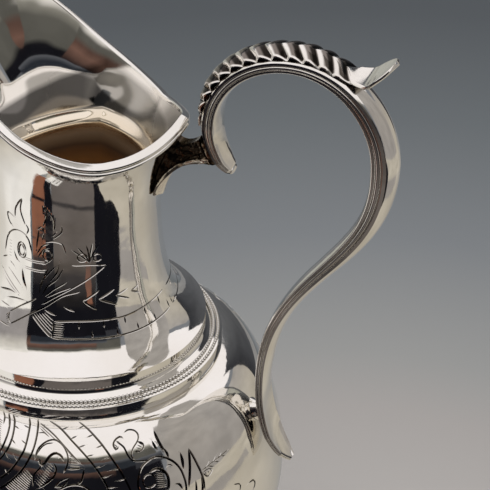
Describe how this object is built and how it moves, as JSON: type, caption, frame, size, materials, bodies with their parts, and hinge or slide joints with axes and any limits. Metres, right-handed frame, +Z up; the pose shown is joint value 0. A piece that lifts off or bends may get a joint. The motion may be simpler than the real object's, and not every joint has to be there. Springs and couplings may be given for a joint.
{
  "type": "cream jug",
  "caption": "Polished silver cream jug: globe body on a round foot, beaded collars, flared neck with a pouring spout and a scroll handle with a thumb leaf.",
  "frame": {"origin": "on the jug's axis at table level, in the middle of the foot ring", "axes": "+Z up along the jug's axis, +X towards the handle, -X towards the spout, XZ is the plane of symmetry"},
  "size_m": [0.1024, 0.078, 0.1447],
  "materials": {
    "body_silver": "mirror polished silver, engraved on the neck and the shoulder",
    "trim_silver": "mirror polished silver wire and strip",
    "handle_silver": "polished cast silver with dark lines in the grooves",
    "bracket_silver": "rough cast silver, dark with tarnish"
  },
  "bodies": {
    "root": {"foot_ring": "body_silver", "foot": "body_silver", "collet": "body_silver", "globe": "body_silver", "lower_collar": "body_silver", "lower_bead_wire": "trim_silver", "upper_bead_wire": "trim_silver", "upper_collar": "body_silver", "neck": "body_silver", "rim_band": "trim_silver", "rim_reed": "trim_silver", "handle": "handle_silver", "thumb_leaf": "handle_silver", "handle_bracket": "bracket_silver", "handle_pad": "handle_silver"}
  },
  "joints": []
}
